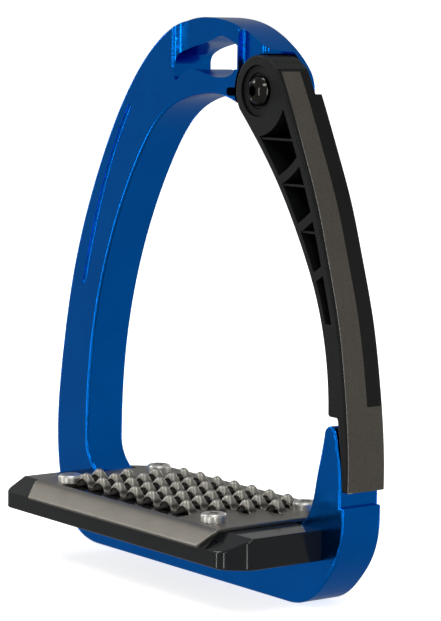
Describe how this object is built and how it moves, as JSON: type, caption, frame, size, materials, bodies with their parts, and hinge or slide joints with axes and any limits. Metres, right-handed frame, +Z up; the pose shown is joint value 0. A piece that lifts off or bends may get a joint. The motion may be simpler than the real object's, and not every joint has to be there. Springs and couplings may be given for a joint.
{
  "type": "safety stirrup iron",
  "caption": "Safety stirrup iron: an open-sided anodised frame, a spring-returned outer arm that swings open to free the foot, and a wide toothed metal tread on a moulded platform.",
  "frame": {"origin": "Centre of the underside of the bottom beam, midway between the two inner faces and on the frame's mid-plane.", "axes": "+X across the foot toward the hinged outer arm, +Y toward the heel side, +Z up through the leather slot."},
  "size_m": [0.1469, 0.0544, 0.167],
  "materials": {
    "frame": "polished and anodised",
    "dark_screw": "black zinc",
    "dark_steel": "blackened",
    "brass": "machined",
    "slide_plastic": "moulded PTFE",
    "spring_steel": "drawn wire",
    "arm_polymer": "satin, glass-filled",
    "arm_metal": "dark anodised, fine blasted",
    "inlay_plastic": "satin",
    "nickel": "nickel plated",
    "rubber": "smooth",
    "tread_base": "high gloss",
    "tread_steel": "matte stainless",
    "bright_screw": "bright zinc"
  },
  "bodies": {
    "frame": {"frame": "frame", "pivot_screw": "dark_screw", "pivot_washer": "dark_steel", "pivot_insert": "brass", "thrust_washer": "slide_plastic", "torsion_spring": "spring_steel", "horn_magnet": "nickel", "tread_base": "tread_base", "tread_plate": "tread_steel", "tread_screws": "bright_screw", "tread_inserts": "brass", "base_screws": "bright_screw"},
    "arm": {"arm_body": "arm_polymer", "arm_cover": "arm_metal", "arm_inlay": "inlay_plastic", "cover_screws": "dark_screw", "arm_magnet": "nickel", "closing_buffer": "rubber", "pivot_bushing": "brass"}
  },
  "joints": [
    {"name": "arm_hinge", "type": "hinge", "parent": "frame", "child": "arm", "pos_m": [0.026, 0, 0.1461], "axis": [0, -1, 0], "range_deg": [0, 50], "stiffness_Nm_per_rad": 0.2, "springref_deg": -20.05, "deforming": ["torsion_spring"]}
  ]
}
